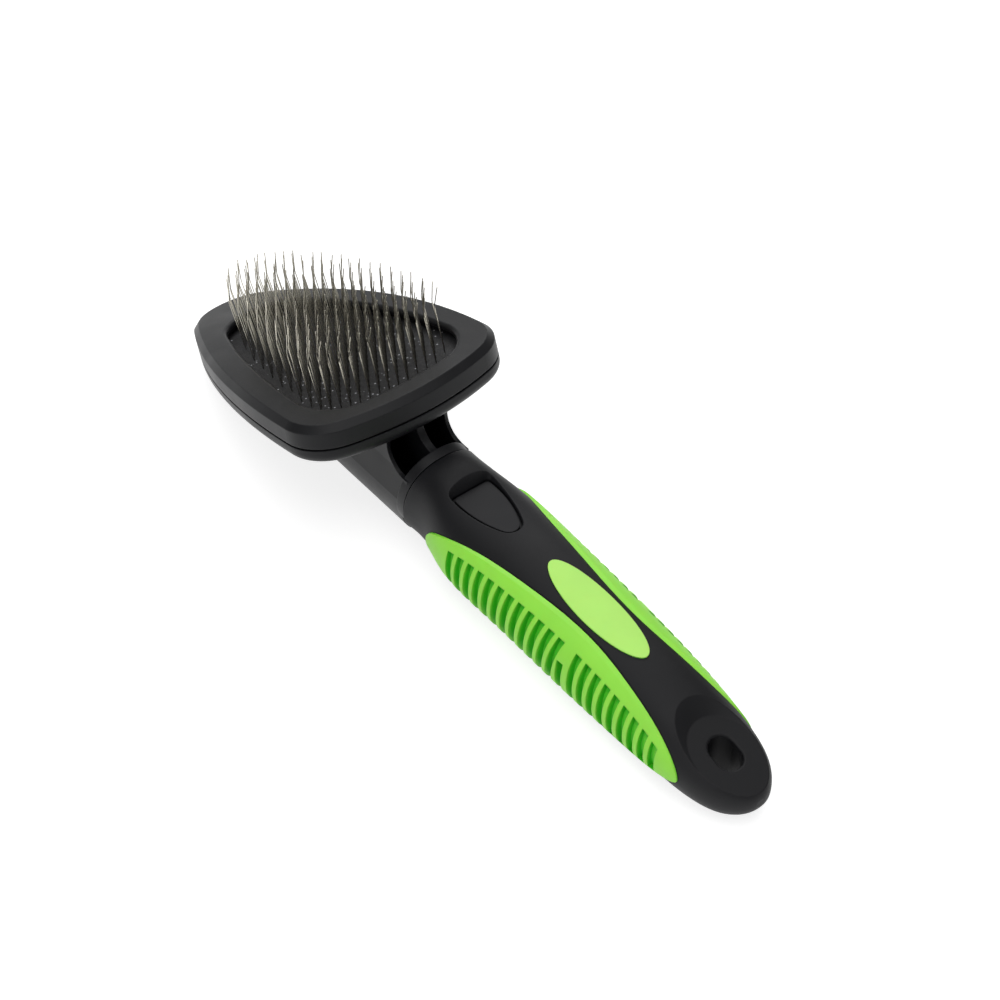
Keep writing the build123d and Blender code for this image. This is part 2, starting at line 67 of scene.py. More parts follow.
# Slabs of the pad: columns round the outline, rows out to the edge and rows round the edge.
EDGE_ROWS = 9
FACE_COLUMNS, FACE_ROWS = 288, 70
CLOTH_COLUMNS, CLOTH_ROWS = 160, 24
FOAM_COLUMNS, FOAM_ROWS = 160, 28
DIMPLE_DEPTH = 0.00016
DIMPLE_REACH = 0.00045
CLOTH_ROUNDING = 0.008  # share of the outline's reach that the rounding of the edge takes
FOAM_REACH = 0.982  # share of the outline's reach at the foam's upper and lower edges
FOAM_BULGE = 0.014  # what the foam's side adds to that share halfway up
FOAM_BULGE_POWER = 0.6
FOAM_HEIGHT_SHARE = 0.985  # share of the room's height that the foam fills
FOAM_WAVES_ALONG, FOAM_WAVES_ACROSS = 900.0, 1100.0
FOAM_WAVE_HEIGHT = 0.00003
FOAM_WAVE_BASIS = 0.0022  # height of foam that a wave changes by FOAM_WAVE_HEIGHT

# Finishes: the usual span of a noise, the cosines of the turn at which a place starts to count as
# an edge and counts in full, and the colours that the settings leave out.
USUAL = (0.3, 0.7)
EDGE_FACING = (0.995, 0.86)
SPECK = (0.55, 0.56, 0.6, 1.0)
WEAVE_HOLLOW, WEAVE_THREAD = (0.02, 0.02, 0.022, 1.0), (0.07, 0.068, 0.062, 1.0)
WEAVE_FUZZ = (0.11, 0.105, 0.095, 1.0)
FOAM_HOLLOW, FOAM_WALL = (0.05, 0.05, 0.055, 1.0), (0.16, 0.16, 0.17, 1.0)
FOAM_CLOUD = (0.11, 0.11, 0.115, 1.0)
BOARD_DARK, BOARD_PALE = (0.07, 0.07, 0.072, 1), (0.1, 0.1, 0.1, 1)
BOARD_EDGE = (0.2, 0.2, 0.2, 1)
ZINC_DARK, ZINC_PALE = (0.5, 0.5, 0.52, 1), (0.68, 0.68, 0.66, 1)
ZINC_EDGE = (0.8, 0.8, 0.8, 1)
FLOOR_PLAIN = (0.8, 0.8, 0.8, 1)
FLOOR_SEEN = (0.6, 0.6, 0.6, 1)

# Each lamp's name, place, width in metres and power in watts. All of them face the brush.
LAMPS = (
    ("overhead_softbox", (-0.1, 0.1, 1.5), 1.5, 11.0),
    ("far_softbox", (1.0, -0.8, 0.9), 0.9, 7.0),
    ("side_softbox", (-0.3, 1.3, 0.7), 0.8, 4.0),
)
LAMP_AIM = (0, 0, 0)
WORLD_LIGHT = 0.3
FLOOR_GLOW = 0.75
FLOOR_DROP = 0.00005


# ---------------------------------------------------------------- settings

class HeadSettings(bpy.types.PropertyGroup):
    """Outline and levels of the head, measured from the middle of its parting line."""

    centre: FloatVectorProperty(
        name="Head Centre", description="Middle of the head on its parting line",
        subtype="XYZ", unit="LENGTH", size=3, default=(0.04358, 0.0, 0.02595))
    tilt: FloatProperty(
        name="Head Tilt", description="How far the nose of the head dips",
        subtype="ANGLE", default=0.331613)
    arch: FloatProperty(
        name="Head Arch", description="Radius of the head's lengthwise arch at the parting line",
        unit="LENGTH", default=0.336)
    nose: FloatProperty(
        name="Window Nose", description="Where the two sides of the window would meet",
        unit="LENGTH", default=0.0557)
    back: FloatProperty(
        name="Window Back", description="Where a side of the window would meet its base",
        unit="LENGTH", default=0.0217)
    half_width: FloatProperty(
        name="Window Half Width", description="Half the width of the window at its base",
        unit="LENGTH", default=0.0205)
    side_bow: FloatProperty(
        name="Side Bow", description="How far each side of the window bows out",
        unit="LENGTH", default=0.0052)
    base_bow: FloatProperty(
        name="Base Bow", description="How far the base of the window bows out",
        unit="LENGTH", default=0.0026)
    nose_radius: FloatProperty(
        name="Nose Radius", description="Rounding of the window at the nose",
        unit="LENGTH", default=0.0107)
    corner_radius: FloatProperty(
        name="Corner Radius", description="Rounding of the window's two back corners",
        unit="LENGTH", default=0.0107)
    tuck: FloatProperty(
        name="Pad Tuck", description="How far the pad reaches under the frame",
        unit="LENGTH", default=0.0016)
    pad_face: FloatProperty(
        name="Pad Face", description="Height of the rubber face over the parting line",
        unit="LENGTH", default=0.00215)
    face_thickness: FloatProperty(
        name="Face Thickness", description="Thickness of the rubber face",
        unit="LENGTH", default=0.0004)
    cloth_thickness: FloatProperty(
        name="Cloth Thickness", description="Thickness of the cloth under the rubber",
        unit="LENGTH", default=0.0008)
    foam_foot: FloatProperty(
        name="Foam Foot", description="Height of the foot of the foam",
        unit="LENGTH", default=-0.0014)


class PinSettings(bpy.types.PropertyGroup):
    """Bent wires of the pad."""

    radius: FloatProperty(
        name="Wire Radius", description="Half the thickness of the wire",
        unit="LENGTH", default=0.00011)
    lower_height: FloatProperty(
        name="Lower Leg", description="Height of the wire up to its bend",
        unit="LENGTH", default=0.0116)
    lower_lean: FloatProperty(
        name="Lower Lean", description="Lean of the lower leg towards the nose",
        unit="LENGTH", default=0.0009)
    upper_height: FloatProperty(
        name="Upper Leg", description="Height from the bend to the tip",
        unit="LENGTH", default=0.0058)
    upper_lean: FloatProperty(
        name="Upper Lean", description="Lean of the upper leg back to the handle",
        unit="LENGTH", default=0.0022)
    pitch_across: FloatProperty(
        name="Pitch Across", description="Distance between wires in a row",
        unit="LENGTH", default=0.0026)
    pitch_along: FloatProperty(
        name="Pitch Along", description="Distance between rows",
        unit="LENGTH", default=0.002)
    margin: FloatProperty(
        name="Bare Margin", description="Bare edge of the pad inside the window",
        unit="LENGTH", default=0.0028)
    seed: IntProperty(
        name="Seed", description="Which small irregularities the wires have", default=7)


class FinishSettings(bpy.types.PropertyGroup):
    """Colours of the brush, and the painted shade down in the inlays' grooves."""

    head_black: FloatVectorProperty(
        name="Head Plastic", description="Satin black of the head and neck",
        subtype="COLOR", size=4, min=0, max=1, default=(0.006, 0.0062, 0.0074, 1.0))
    grip_black: FloatVectorProperty(
        name="Grip", description="Soft-touch black of the grip",
        subtype="COLOR", size=4, min=0, max=1, default=(0.0065, 0.0066, 0.008, 1.0))
    rubber: FloatVectorProperty(
        name="Pad Rubber", description="Black rubber that the wires stand in",
        subtype="COLOR", size=4, min=0, max=1, default=(0.007, 0.007, 0.008, 1.0))
    green: FloatVectorProperty(
        name="Green", description="Soft green of the inlays",
        subtype="COLOR", size=4, min=0, max=1, default=(0.33, 0.86, 0.07, 1.0))
    pale_green: FloatVectorProperty(
        name="Pale Green", description="Lighter green of the oval inlay",
        subtype="COLOR", size=4, min=0, max=1, default=(0.50, 0.94, 0.17, 1.0))
    # Painted shade: the dark green that the inlays are painted with down in their grooves, where shade
    # falls.
    painted_groove_shade: FloatVectorProperty(
        name="Deep Green", description="Green down in the grooves",
        subtype="COLOR", size=4, min=0, max=1, default=(0.03, 0.60, 0.01, 1.0))
    wire: FloatVectorProperty(
        name="Wire", description="Drawn steel of the pins",
        subtype="COLOR", size=4, min=0, max=1, default=(0.80, 0.76, 0.64, 1.0))


class StudioSettings(bpy.types.PropertyGroup):
    """Camera, lamps and floor."""

    eye: FloatVectorProperty(
        name="Camera Place", description="Where the camera stands",
        subtype="XYZ", unit="LENGTH", size=3, default=(-0.3624, 0.2792, 0.4781))
    aim: FloatVectorProperty(
        name="Camera Aim", description="Point at the middle of the view",
        subtype="XYZ", unit="LENGTH", size=3, default=(0.00953, -0.01689, 0.0))
    lens: FloatProperty(
        name="Lens", description="Focal length in millimetres on a 36 mm frame",
        default=106.6)
    floor_reach: FloatProperty(
        name="Floor Reach", description="Half the width of the floor",
        unit="LENGTH", default=3.0)


# ---------------------------------------------------------------- surfaces

def put_grid(name, points):
    """Closed mesh over a grid of points, rows by columns. The last column joins the first, and
    the first and last rows, which are each one point, become poles."""
    rows, columns = points.shape[:2]
    number = np.arange(rows * columns).reshape(rows, columns)
    number = np.concatenate([number, number[:, :1]], axis=1)
    quads = np.stack([number[:-1, :-1], number[:-1, 1:], number[1:, 1:], number[1:, :-1]], axis=-1)
    merged = np.arange(rows * columns)
    merged[:columns] = 0
    merged[-columns:] = merged[-columns]
    kept, quads = np.unique(merged[quads.reshape(-1, 4)], return_inverse=True)
    return put_faces(name, points.reshape(-1, 3)[kept], quads.reshape(-1, 4))


def put_faces(name, vertices, quads):
    """Mesh of four-cornered faces, those with a repeated corner becoming triangles."""
    same = quads == np.roll(quads, -1, axis=1)
    counts = 4 - same.sum(axis=1)
    loops = quads.reshape(-1)[~same.reshape(-1)]
    starts = np.concatenate([[0], np.cumsum(counts)[:-1]])
    mesh = bpy.data.meshes.new(name)
    mesh.vertices.add(len(vertices))
    mesh.vertices.foreach_set("co", vertices.astype(np.float32).ravel())
    mesh.loops.add(len(loops))
    mesh.loops.foreach_set("vertex_index", loops.astype(np.int32))
    mesh.polygons.add(len(counts))
    mesh.polygons.foreach_set("loop_start", starts.astype(np.int32))
    mesh.polygons.foreach_set("use_smooth", np.ones(len(counts), dtype=bool))
    mesh.update(calc_edges=True)
    mesh.validate()
    thing = bpy.data.objects.new(name, mesh)
    bpy.context.scene.collection.objects.link(thing)
    return thing


def point_values(thing, name, values):
    """Keeps one number for each vertex as an attribute that a finish can read."""
    attribute = thing.data.attributes.new(name, "FLOAT", "POINT")
    attribute.data.foreach_set("value", values.astype(np.float32).ravel())


def in_head(head, along, across, up):
    """Points of the arched head in the room: the angle at the arch's axis is the tilt plus the
    place along over the arch's radius, and the distance from that axis is the radius plus the
    height up the wires."""
    turn = head.tilt + along / head.arch
    out = head.arch + up
    x = head.centre[0] - head.arch * np.sin(head.tilt) + out * np.sin(turn)
    y = head.centre[1] + across
    z = head.centre[2] - head.arch * np.cos(head.tilt) + out * np.cos(turn)
    return np.stack(np.broadcast_arrays(x, y, z), axis=-1)


def bowed_disc(start, end, bow):
    """Centre and radius of the circle through two points whose arc bows out by an amount."""
    run = end - start
    chord = np.hypot(*run)
    radius = (chord ** 2 / 4 + bow ** 2) / (2 * bow)
    centre = (start + end) / 2 + np.array([-run[1], run[0]]) * (radius - bow) / chord
    return centre, radius


def far_hit(toward, centre, radius):
    """Distance along unit directions from the middle to the far side of a circle."""
    along = toward @ centre
    inner = np.maximum(radius ** 2 - centre @ centre + along ** 2, 0)
    return along + np.sqrt(inner)


def window_rim(head, angles, inset):
    """Distance from the middle to the rim of the rounded triangle at each angle: the nearest of
    three bowed edges, or the rounding circle where an edge's end lies beyond its tangent."""
    tip = np.array([head.nose, 0.0])
    left = np.array([-head.back, head.half_width])
    right = left * (1, -1)
    edges = [bowed_disc(left, right, head.base_bow), bowed_disc(tip, left, head.side_bow)]
    edges.append((edges[1][0] * (1, -1), edges[1][1]))
    toward = np.stack([np.cos(angles), np.sin(angles)], axis=-1)
    reach = np.min([far_hit(toward, c, r - inset) for c, r in edges], axis=0)
    for one, two, rounding, near in (
        (edges[1], edges[2], head.nose_radius, tip),
        (edges[0], edges[1], head.corner_radius, left),
        (edges[0], edges[2], head.corner_radius, right),
    ):
        middle = circle_cross(one[0], one[1] - rounding, two[0], two[1] - rounding, near)
        first = middle - one[0]
        second = middle - two[0]
        past = toward * reach[..., None] - middle
        turn = np.sign(cross(first, second))
        beyond = (cross(first, past) * turn > 0) & (cross(past, second) * turn > 0)
        reach = np.where(beyond, far_hit(toward, middle, rounding - inset), reach)
    return reach


def cross(one, two):
    """Cross product of flat vectors, as one number."""
    return one[..., 0] * two[..., 1] - one[..., 1] * two[..., 0]


def circle_cross(centre, radius, other, other_radius, near):
    """The crossing of two circles that lies nearer to a point."""
    run = other - centre
    gap = np.hypot(*run)
    along = (gap ** 2 + radius ** 2 - other_radius ** 2) / (2 * gap)
    off = np.sqrt(radius ** 2 - along ** 2)
    foot = centre + run * along / gap
    side = np.array([-run[1], run[0]]) * off / gap
    found = np.stack([foot + side, foot - side])
    return found[np.argmin(np.hypot(*(found - near).T))]


def pin_places(head, pins):
    """Staggered rows over the pad, kept where they fall inside the bare margin."""
    ends = window_rim(head, np.array([0.0, np.pi]), pins.margin)
    rows = int((ends[0] + ends[1]) / pins.pitch_along)
    first = (ends[0] - ends[1]) / 2 - rows * pins.pitch_along / 2
    places = np.arange(-PLACES_A_SIDE, PLACES_A_SIDE + 1)
    row, place = np.meshgrid(np.arange(rows + 1), places, indexing="ij")
    along = first + row * pins.pitch_along
    across = (place + (row % 2) / 2) * pins.pitch_across
    inside = np.hypot(along, across) <= window_rim(head, np.arctan2(across, along), pins.margin)
    return np.stack([along[inside], across[inside]], axis=-1)


# ---------------------------------------------------------------- finishes

class Finish:
    """A node material being built, with short calls for its usual parts."""

    def __init__(self, name):
        self.material = bpy.data.materials.new(name)
        self.material.use_nodes = True
        self.nodes = self.material.node_tree.nodes
        self.links = self.material.node_tree.links
        self.shader = self.nodes["Principled BSDF"]
        self.coordinates = self.nodes.new("ShaderNodeTexCoord").outputs["Object"]
        self.normal = None

    def set(self, **values):
        """Numbers and colours that are the same all over, on the shader's own sockets."""
        for socket, value in values.items():
            self.shader.inputs[socket.replace("_", " ")].default_value = value

    def node(self, kind, inputs=(), **settings):
        """A node with its settings, and its inputs set or linked."""
        made = self.nodes.new(kind)
        for key, value in settings.items():
            setattr(made, key, value)
        for key, value in dict(inputs).items():
            if isinstance(value, bpy.types.NodeSocket):
                self.links.new(value, made.inputs[key])
            else:
                made.inputs[key].default_value = value
        return made

    def noise(self, scale, detail=2.0, roughness=0.5):
        """Soft noise on the object's own coordinates, scale in cells to the metre."""
        return self.node("ShaderNodeTexNoise", {
            "Vector": self.coordinates, "Scale": scale,
            "Detail": detail, "Roughness": roughness}).outputs["Fac"]

    def math(self, operation, one, two):
        """One sum on sockets or numbers."""
        return self.node("ShaderNodeMath", {0: one, 1: two}, operation=operation).outputs[0]

    def spread(self, value, span, to=(0.0, 1.0)):
        """Maps one span of a value to another, held at both ends and eased between them."""
        return self.node("ShaderNodeMapRange", {
            "Value": value, "From Min": span[0], "From Max": span[1],
            "To Min": to[0], "To Max": to[1]}, interpolation_type="SMOOTHSTEP").outputs[0]

    def blend(self, amount, one, two):
        """Colour between two, each a socket or a colour."""
        mixed = self.node("ShaderNodeMix", data_type="RGBA")
        for key, value in ((0, amount), (6, one), (7, two)):
            if isinstance(value, bpy.types.NodeSocket):
                self.links.new(value, mixed.inputs[key])
            else:
                mixed.inputs[key].default_value = value
        return mixed.outputs[2]

    def edge(self, radius):
        """Rounds the look of hard edges and gives how near an edge each place is, 0 to 1."""
        soft = self.node("ShaderNodeBevel", {"Radius": radius}, samples=6).outputs[0]
        true = self.node("ShaderNodeNewGeometry").outputs["Normal"]
        facing = self.node("ShaderNodeVectorMath", {0: soft, 1: true}, operation="DOT_PRODUCT")
        self.normal = soft
        return self.spread(facing.outputs["Value"], EDGE_FACING)

    def bump(self, height, strength, distance):
        """Adds relief on top of what is there."""
        inputs = {"Height": height, "Strength": strength, "Distance": distance}
        if self.normal is not None:
            inputs["Normal"] = self.normal
        self.normal = self.node("ShaderNodeBump", inputs).outputs[0]

    def done(self, colour=None, roughness=None):
        """Links the finished colour, roughness and relief to the shader."""
        if colour is not None:
            self.links.new(colour, self.shader.inputs["Base Color"])
        if roughness is not None:
            self.links.new(roughness, self.shader.inputs["Roughness"])
        if self.normal is not None:
            self.links.new(self.normal, self.shader.inputs["Normal"])
        return self.material


def dress(name, material):
    """Puts a finish on a CAD node's own slots."""
    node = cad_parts[name]
    node.data.materials.clear()
    node.data.materials.append(material)


def scaled(colour, factor):
    """A colour made darker or lighter, its opacity kept."""
    return (*[min(1.0, part * factor) for part in colour[:3]], 1.0)


def satin_plastic(name, colour, grain, edge_radius):
    """Moulded satin black: fine even grain, faint cloudiness and rubbed, lighter edges."""
    finish = Finish(name)
    edge = finish.edge(edge_radius)
    cloud = finish.noise(90.0, detail=3.0)
    fine = finish.noise(grain, roughness=0.6)
    rub = finish.math("MULTIPLY", edge, finish.spread(finish.noise(700.0, detail=3.0), (0.42, 0.62)))
    body = finish.blend(finish.spread(cloud, USUAL), scaled(colour, 0.85), scaled(colour, 1.2))
    body = finish.blend(finish.math("MULTIPLY", rub, 0.55), body, scaled(colour, 4.0))
    gloss = finish.math(
        "ADD", finish.spread(cloud, USUAL, to=(0.36, 0.43)), finish.math("MULTIPLY", fine, 0.05))
    finish.bump(fine, strength=0.25, distance=0.00006)
    finish.set(IOR=1.5, Specular_IOR_Level=0.24)
    return finish.done(body, gloss)


# ---------------------------------------------------------------- operators

class SLICKER_OT_pins(bpy.types.Operator):
    """Bent wires: a six-sided circle carried up the lower leg, round the bend and up the tip"""

    bl_idname = "slicker.pins"
    bl_label = "Wire Pins"

    def execute(self, context):
        head, pins = context.scene.slicker_head, context.scene.slicker_pins
        places = pin_places(head, pins)
        chance = np.random.default_rng(pins.seed)
        count = len(places)
        turn = chance.normal(0.0, KNEE_SCATTER, (count, 2))
        sway = chance.normal(0.0, TIP_SCATTER, (count, 2))
        short = chance.uniform(0.0, LARGEST_SHORTFALL, count)

        foot_up = np.full(count, head.pad_face - FOOT_DEPTH)
        foot = np.stack([places[:, 0], places[:, 1], foot_up], axis=-1)
        knee = foot.copy()
        knee[:, 0] += pins.lower_lean + turn[:, 0]
        knee[:, 1] += turn[:, 1]
        knee[:, 2] = head.pad_face + pins.lower_height - short / 2
        tip = knee.copy()
        tip[:, 0] += sway[:, 0] - pins.upper_lean
        tip[:, 1] += sway[:, 1]
        tip[:, 2] = head.pad_face + pins.lower_height + pins.upper_height - short

        low = knee + (foot - knee) * BEND_BELOW
        high = knee + (tip - knee) * BEND_ABOVE
        share = np.linspace(0, 1, BEND_POINTS)[None, :, None]
        bend = (
            (1 - share) ** 2 * low[:, None]
            + 2 * share * (1 - share) * knee[:, None]
            + share ** 2 * high[:, None])
        near_tip = tip + (high - tip) * TIP_SHARE
        middle = (foot + low) / 2
        line = np.concatenate([
            foot[:, None], foot[:, None], middle[:, None], bend,
            near_tip[:, None], tip[:, None], tip[:, None]], axis=1)
        rings = line.shape[1]
        width = np.full(rings, pins.radius)
        width[[0, -1]] = 0.0
        width[-2] *= TIP_NARROWING

        spin = np.linspace(0, 2 * np.pi, WIRE_SIDES, endpoint=False)
        ahead = np.gradient(line[:, 1:-1], axis=1)
        ahead = np.concatenate([ahead[:, :1], ahead, ahead[:, -1:]], axis=1)
        ahead /= np.maximum(np.linalg.norm(ahead, axis=-1, keepdims=True), 1e-9)
        side = np.broadcast_to(np.array([0.0, 1.0, 0.0]), ahead.shape)
        front = np.cross(side, ahead)
        front /= np.linalg.norm(front, axis=-1, keepdims=True)
        side = np.cross(ahead, front)
        ring = (front[:, :, None] * np.cos(spin)[:, None] + side[:, :, None] * np.sin(spin)[:, None])
        local = line[:, :, None] + ring * width[:, None, None]
        points = in_head(head, local[..., 0], local[..., 1], local[..., 2])

        number = np.arange(count * rings * WIRE_SIDES).reshape(count, rings, WIRE_SIDES)
        number[:, 0] = number[:, 0, :1]
        number[:, -1] = number[:, -1, :1]
        around = np.concatenate([number, number[..., :1]], axis=-1)
        quads = np.stack([
            around[:, :-1, :-1], around[:, :-1, 1:], around[:, 1:, 1:], around[:, 1:, :-1]], axis=-1)
        kept, quads = np.unique(quads, return_inverse=True)
        thing = put_faces("bent_wires", points.reshape(-1, 3)[kept], quads.reshape(-1, 4))
        rise = np.broadcast_to(
            ((local[..., 2] - head.pad_face) / (pins.lower_height + pins.upper_height)), number.shape)
        tone = np.broadcast_to(chance.uniform(0, 1, count)[:, None, None], number.shape)
        point_values(thing, "rise", rise.reshape(-1)[kept])
        point_values(thing, "tone", tone.reshape(-1)[kept])
        thing.data.materials.append(wire_finish(context.scene.slicker_finish))
        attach(thing, "pin_pad")
        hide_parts("wire_pins")
        return {"FINISHED"}


def wire_finish(colours):
    """Drawn steel: fine marks all over, each wire a little different, and painted shade darkening the
    lowest part of every wire.
    """
    finish = Finish("drawn_steel_wire")
    rise = finish.node("ShaderNodeAttribute", attribute_name="rise").outputs["Fac"]
    tone = finish.node("ShaderNodeAttribute", attribute_name="tone").outputs["Fac"]
    marks = finish.noise(9000.0)
    wire = finish.blend(tone, scaled(colours.wire, 0.8), scaled(colours.wire, 1.15))
    wire = finish.blend(finish.spread(marks, (0.35, 0.7)), wire, scaled(colours.wire, 0.55))
    # Painted shade: the lowest fifth of each wire is darkened towards its foot, where the crowded wires
    # shade each other.
    painted_root_shade = finish.spread(rise, (0.0, 0.22), to=(0.7, 0.0))
    wire = finish.blend(painted_root_shade, wire, scaled(colours.wire, 0.12))
    gloss = finish.spread(marks, USUAL, to=(0.22, 0.38))
    finish.bump(marks, strength=0.2, distance=0.00003)
    finish.set(Metallic=1.0)
    return finish.done(wire, gloss)


def slab(head, inset, top, foot, columns, radial, shape_edge):
    """Closed round-cornered slab: out from the middle over the top, round the edge and back under
    it. shape_edge gives the edge's share of the reach and its height for a turn from 0 to 1."""
    angles = np.linspace(0, 2 * np.pi, columns, endpoint=False)
    reach = window_rim(head, angles, inset)
    out = np.linspace(0, 1, radial, endpoint=False)
    edge_share, edge_height = shape_edge(np.linspace(0, 1, EDGE_ROWS))
    share = np.concatenate([out * edge_share[0], edge_share, out[::-1] * edge_share[-1]])
    upper = np.full(radial, edge_height[0])
    lower = np.full(radial, edge_height[-1])
    height = np.concatenate([upper, edge_height, lower])
    up = foot + (top - foot) * height
    along = share[:, None] * reach * np.cos(angles)
    across = share[:, None] * reach * np.sin(angles)
    return along, across, np.broadcast_to(up[:, None], along.shape).copy()


class SLICKER_OT_pad_face(bpy.types.Operator):
    """Rubber face: a thin slab a tuck wider than the window, dipped round the foot of every wire"""

    bl_idname = "slicker.pad_face"
    bl_label = "Rubber Face"

    def execute(self, context):
        head, pins = context.scene.slicker_head, context.scene.slicker_pins

        def square_edge(turn):
            return np.full(turn.shape, 1.0), 1 - turn

        along, across, up = slab(
            head, -head.tuck, head.pad_face, head.pad_face - head.face_thickness,
            FACE_COLUMNS, FACE_ROWS, square_edge)
        places = pin_places(head, pins)
        shown = slice(0, FACE_ROWS)
        flat = np.stack([along[shown], across[shown]], axis=-1)
        apart = np.min(np.linalg.norm(flat[:, :, None] - places, axis=-1), axis=-1)
        up[shown] -= DIMPLE_DEPTH * np.exp(-(apart / DIMPLE_REACH) ** 2)
        thing = put_grid("rubber_face", in_head(head, along, across, up))
        finish = Finish("black_pad_rubber")
        rubber = context.scene.slicker_finish.rubber
        cloud = finish.noise(260.0, detail=3.0)
        pores = finish.noise(2600.0, detail=3.0, roughness=0.65)
        specks = finish.node("ShaderNodeTexVoronoi", {
            "Vector": finish.coordinates, "Scale": 900.0, "Randomness": 1.0})
        chance = finish.node("ShaderNodeSeparateColor", {0: specks.outputs["Color"]}).outputs[0]
        speck = finish.math(
            "MULTIPLY", finish.spread(specks.outputs["Distance"], (0.24, 0.12)),
            finish.math("GREATER_THAN", chance, 0.62))
        body = finish.blend(finish.spread(cloud, USUAL), scaled(rubber, 0.8), scaled(rubber, 1.7))
        body = finish.blend(finish.math("MULTIPLY", speck, 0.8), body, SPECK)
        finish.bump(pores, strength=0.6, distance=0.0001)
        thing.data.materials.append(finish.done(body, finish.spread(pores, USUAL, to=(0.55, 0.8))))
        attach(thing, "pin_pad")
        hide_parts("wire_pins")
        return {"FINISHED"}


class SLICKER_OT_cloth(bpy.types.Operator):
    """Carding cloth: a thin woven slab under the rubber, its cut edge rounded"""

    bl_idname = "slicker.cloth"
    bl_label = "Carding Cloth"

    def execute(self, context):
        head = context.scene.slicker_head
        top = head.pad_face - head.face_thickness

        def round_edge(turn):
            share = 1 - CLOTH_ROUNDING + CLOTH_ROUNDING * np.sin(np.pi * turn)
            return share, (1 + np.cos(np.pi * turn)) / 2

        along, across, up = slab(
            head, -head.tuck, top, top - head.cloth_thickness,
            CLOTH_COLUMNS, CLOTH_ROWS, round_edge)
        thing = put_grid("woven_cloth", in_head(head, along, across, up))
        finish = Finish("rubberised_weave")
        warp = finish.node("ShaderNodeTexWave", {
            "Vector": finish.coordinates, "Scale": 500.0, "Distortion": 0.4},
            bands_direction="X").outputs["Fac"]
        weft = finish.node("ShaderNodeTexWave", {
            "Vector": finish.coordinates, "Scale": 500.0, "Distortion": 0.4},
            bands_direction="Y").outputs["Fac"]
        weave = finish.math("MULTIPLY", warp, weft)
        fuzz = finish.noise(1500.0, detail=3.0)
        body = finish.blend(weave, WEAVE_HOLLOW, WEAVE_THREAD)
        body = finish.blend(finish.math("MULTIPLY", fuzz, 0.4), body, WEAVE_FUZZ)
        finish.bump(weave, strength=0.6, distance=0.0001)
        thing.data.materials.append(finish.done(body, finish.spread(fuzz, USUAL, to=(0.75, 0.92))))
        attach(thing, "pin_pad")
        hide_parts("carding_cloth")
        return {"FINISHED"}


class SLICKER_OT_foam(bpy.types.Operator):
    """Foam filling: a slab with faintly wavy faces, its side bulging a little halfway up"""

    bl_idname = "slicker.foam"
    bl_label = "Foam Filling"

    def execute(self, context):
        head = context.scene.slicker_head
        top = head.pad_face - head.face_thickness - head.cloth_thickness

        def soft_edge(turn):
            share = FOAM_REACH + FOAM_BULGE * np.sin(np.pi * turn) ** FOAM_BULGE_POWER
            return share, (1 + np.cos(np.pi * turn)) / 2

        along, across, up = slab(
            head, -head.tuck, top, head.foam_foot,
            FOAM_COLUMNS, FOAM_ROWS, soft_edge)
        waves = np.sin(along * FOAM_WAVES_ALONG) * np.sin(across * FOAM_WAVES_ACROSS) * FOAM_WAVE_HEIGHT
        middle = (top + head.foam_foot) / 2
        up = middle + (up - middle) * (FOAM_HEIGHT_SHARE + waves / FOAM_WAVE_BASIS)
        thing = put_grid("foam_filling", in_head(head, along, across, up))
        finish = Finish("closed_cell_foam")
        cells = finish.node("ShaderNodeTexVoronoi", {
            "Vector": finish.coordinates, "Scale": 1400.0}).outputs["Distance"]
        cloud = finish.noise(300.0, detail=3.0)
        body = finish.blend(finish.spread(cells, (0.1, 0.6)), FOAM_HOLLOW, FOAM_WALL)
        body = finish.blend(finish.math("MULTIPLY", cloud, 0.5), body, FOAM_CLOUD)
        finish.bump(cells, strength=0.5, distance=0.0002)
        thing.data.materials.append(finish.done(body, finish.spread(cloud, USUAL, to=(0.8, 0.95))))
        anchor = in_head(head, np.array(0.0), np.array(0.0), np.array(head.foam_foot))
        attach(thing, "brush")
        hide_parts("foam_cushion")
        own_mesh(thing)
        return {"FINISHED"}


class SLICKER_OT_head(bpy.types.Operator):
    """Satin black of the head's frame and back shell"""

    bl_idname = "slicker.head"
    bl_label = "Head Finish"

    def execute(self, context):
        colour = context.scene.slicker_finish.head_black
        plastic = satin_plastic("satin_head_plastic", colour, grain=4200.0, edge_radius=0.00035)
        dress("bezel_frame", plastic)
        dress("back_shell", plastic)
        return {"FINISHED"}


class SLICKER_OT_neck(bpy.types.Operator):
    """Satin black of the neck, a little coarser in grain than the head"""

    bl_idname = "slicker.neck"
    bl_label = "Neck Finish"

    def execute(self, context):
        colour = context.scene.slicker_finish.head_black
        plastic = satin_plastic("satin_neck_plastic", colour, grain=3200.0, edge_radius=0.0003)
        dress("neck", plastic)
        return {"FINISHED"}


